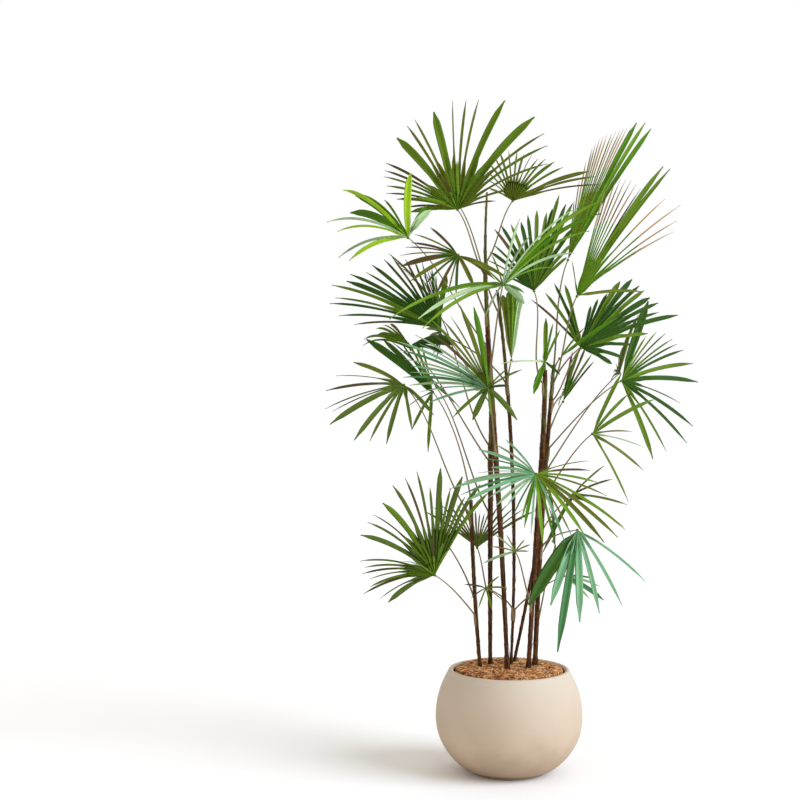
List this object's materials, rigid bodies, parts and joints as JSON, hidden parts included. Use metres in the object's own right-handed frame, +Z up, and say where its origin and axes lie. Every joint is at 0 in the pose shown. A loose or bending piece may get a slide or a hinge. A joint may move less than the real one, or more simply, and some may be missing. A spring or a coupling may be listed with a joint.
{
  "type": "potted lady palm",
  "caption": "Upright clump of slender fibrous canes with palmate fan fronds on thin stalks, standing in a round bowl pot filled with bark fibre mulch.",
  "frame": {"origin": "centre of the pot's flat underside", "axes": "+Z up along the pot's axis, front of the plant faces -Y, +X to the right seen from the front"},
  "size_m": [0.8869, 0.6799, 1.5599],
  "materials": {
    "pot_stoneware": "matte, fine grained",
    "mulch_fibre": "loose fibres",
    "cane_fibre": "rough fibrous",
    "leaf_mid": "satin leaf",
    "leaf_dark": "satin leaf",
    "leaf_bright": "satin leaf",
    "leaf_blue": "satin leaf",
    "leaf_olive": "satin leaf"
  },
  "bodies": {
    "root": {"cane_1": "cane_fibre", "cane_2": "cane_fibre", "cane_3": "cane_fibre", "cane_4": "cane_fibre", "cane_5": "cane_fibre", "cane_6": "cane_fibre", "cane_7": "cane_fibre", "frond_back_1": "leaf_dark", "frond_back_2": "leaf_mid", "frond_back_3": "leaf_dark", "frond_back_4": "leaf_dark", "frond_back_5": "leaf_olive", "frond_back_6": "leaf_mid", "frond_back_7": "leaf_dark", "frond_back_right_low": "leaf_olive", "frond_centre_blue": "leaf_blue", "frond_centre_bright": "leaf_bright", "frond_centre_dark": "leaf_dark", "frond_dark_left": "leaf_dark", "frond_drooping": "leaf_blue", "frond_edge_left": "leaf_mid", "frond_far_right": "leaf_mid", "frond_hidden_left": "leaf_olive", "frond_large_left": "leaf_dark", "frond_low_centre": "leaf_dark", "frond_low_far_left": "leaf_mid", "frond_low_left": "leaf_olive", "frond_lower_right": "leaf_mid", "frond_narrow_right": "leaf_mid", "frond_right": "leaf_dark", "frond_side_left_high": "leaf_dark", "frond_side_left_low": "leaf_mid", "frond_side_right": "leaf_dark", "frond_small_low": "leaf_mid", "frond_spear_centre": "leaf_dark", "frond_spear_right": "leaf_olive", "frond_sprig_right": "leaf_bright", "frond_sprout_left": "leaf_mid", "frond_sprout_middle": "leaf_mid", "frond_tall_right": "leaf_bright", "frond_top_left": "leaf_mid", "frond_top_right": "leaf_mid", "frond_umbrella": "leaf_olive", "frond_upper_right": "leaf_bright", "frond_young_left": "leaf_bright", "mulch": "mulch_fibre", "pot": "pot_stoneware"}
  },
  "joints": []
}
